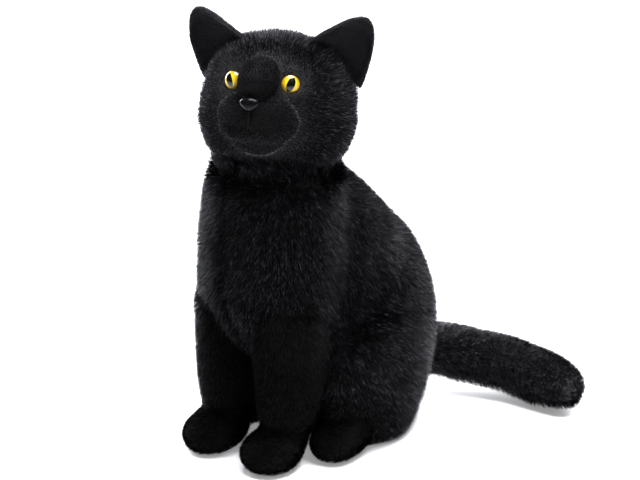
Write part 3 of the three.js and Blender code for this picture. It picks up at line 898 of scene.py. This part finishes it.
def dome(radius, height, low, stem, reach):
    """Profile of a dome on a stem, as a safety eye has it."""
    rows = 14
    profile = [(radius * math.sin(a), height * math.cos(a))
               for a in (math.pi / 2 * k / rows for k in range(rows + 1))]
    return profile + [(radius * 0.8, -low * 0.7), (stem * 1.6, -low), (stem, -low - 0.5), (stem, -reach),
                      (0, -reach)]


for side, sign in SIDES:
    obj = turned_form(f"eye_dome_{side}", dome(7.0, 5.0, 3.6, 1.6, 15.0),
                      facing((sign * EYE_X, EYE_Y, EYE_Z), (sign * 0.4, -0.9, 0.17)))
    dress(obj, "eye", "head", "amber_eye", [f"eye_{side}"])


def nose_shape(bm):
    """Wide at the top and narrow below, with a soft groove down the middle."""
    for v in bm.verts:
        if v.co.z > -2:
            v.co.x *= 1.0 + 0.05 * v.co.y
            v.co.y *= 0.72
            v.co.z -= 0.5 * math.exp(-((v.co.x / 1.0) ** 2)) * (v.co.z > 0) * (v.co.y < 1.5)


obj = turned_form("nose_pad", dome(6.5, 3.5, 2.6, 1.5, 15.0), facing(NOSE_AT, (0, -1, 0.1)), shape=nose_shape)
dress(obj, "nose", "head", "black_nose_plastic", ["nose"])


def stitch(name, heights):
    """A thread laid down the middle of the muzzle, on top of its pile."""
    radius, proud, sides = 0.7 * MM, 1.5 * MM, 8
    ahead = Vector(head_turned(np.array([[0, 1.0, 0]]))[0])
    across = Vector(head_turned(np.array([[1.0, 0, 0]]))[0])
    bm = bmesh.new()
    rings = []
    for z in heights:
        start = Vector(head_turned(np.array([[0, -95.0, z]]))[0]) * MM + NECK
        at = TREES["muzzle"].ray_cast(start, ahead)[0] - ahead * proud
        turns = [2 * math.pi * k / sides for k in range(sides)]
        rings.append([bm.verts.new(at + (across * math.cos(a) - ahead * math.sin(a)) * radius)
                      for a in turns])
    for upper, lower in zip(rings, rings[1:]):
        for k in range(sides):
            n = (k + 1) % sides
            bm.faces.new((upper[k], upper[n], lower[n], lower[k]))
    bm.faces.new(rings[0])
    bm.faces.new(rings[-1])
    bmesh.ops.recalc_face_normals(bm, faces=bm.faces)
    return from_bmesh(name, bm)


dress(stitch("mouth_stitch", np.linspace(46, 34, 13)), "thread", "head", "black_thread", ["mouth_thread"])

# ---- what is left of the CAD: fillings and fittings ----
INNER = {"pellet_bag": "bag", "torso_joint_disc": "nylon", "head_joint_disc": "nylon",
         "torso_joint_washer": "steel", "head_joint_washer": "steel", "joint_pin": "steel",
         "eye_washer_left": "nylon", "eye_washer_right": "nylon", "nose_washer": "nylon"}
for node, look in INNER.items():
    NODES[node].data.materials.clear()
    NODES[node].data.materials.append(LOOKS[look])

bpy.data.objects.remove(FIBRE)

# ---- floor, light and camera ----
bpy.ops.mesh.primitive_plane_add(size=6, location=(0, 0, -0.0002))
floor = bpy.context.object
floor.name = "floor"
g = Graph("white_floor")
floor.data.materials.append(g.done(g.mix(g.noise(3.0), (0.9, 0.9, 0.9), (0.93, 0.93, 0.93)), 0.9,
                                   Emission_Color=(1, 1, 1, 1), Emission_Strength=0.28))

world = bpy.data.worlds.new("studio")
bpy.context.scene.world = world
world.use_nodes = True
world.node_tree.nodes["Background"].inputs[0].default_value = (1, 1, 1, 1)
world.node_tree.nodes["Background"].inputs[1].default_value = 0.1
bpy.context.scene.view_settings.view_transform = "Standard"


AIM = Vector((0, -0.02, 0.15))  # what the lamps point at


def lamp(name, at, size, power):
    light = bpy.data.lights.new(name, "AREA")
    light.shape, light.size, light.energy = "SQUARE", size, power
    light.color = (0.93, 0.94, 1.0)
    obj = bpy.data.objects.new(name, light)
    obj.location = at
    obj.rotation_euler = (AIM - Vector(at)).to_track_quat("-Z", "Y").to_euler()
    obj.visible_camera = False
    bpy.context.scene.collection.objects.link(obj)


lamp("top_softbox", (0.1, 0.02, 1.5), 1.1, 82)
lamp("left_softbox", (-1.35, 0.25, 0.6), 0.9, 52)
lamp("right_softbox", (-0.05, 1.45, 0.6), 0.9, 60)
lamp("front_light", (1.0, -0.5, 1.1), 0.12, 0.5)

camera = bpy.data.objects.new("camera", bpy.data.cameras.new("camera"))
bpy.context.scene.collection.objects.link(camera)
bpy.context.scene.camera = camera
target = Vector((0, -0.025, 0.146))
distance, lens = 1.5, 114.75
azimuth, elevation = math.radians(42), math.radians(17.5)
back = Vector((math.sin(azimuth) * math.cos(elevation), -math.cos(azimuth) * math.cos(elevation),
               math.sin(elevation)))
camera.location = target + back * distance
camera.rotation_euler = (-back).to_track_quat("-Z", "Y").to_euler()
camera.data.lens = lens
camera.data.sensor_width = 36
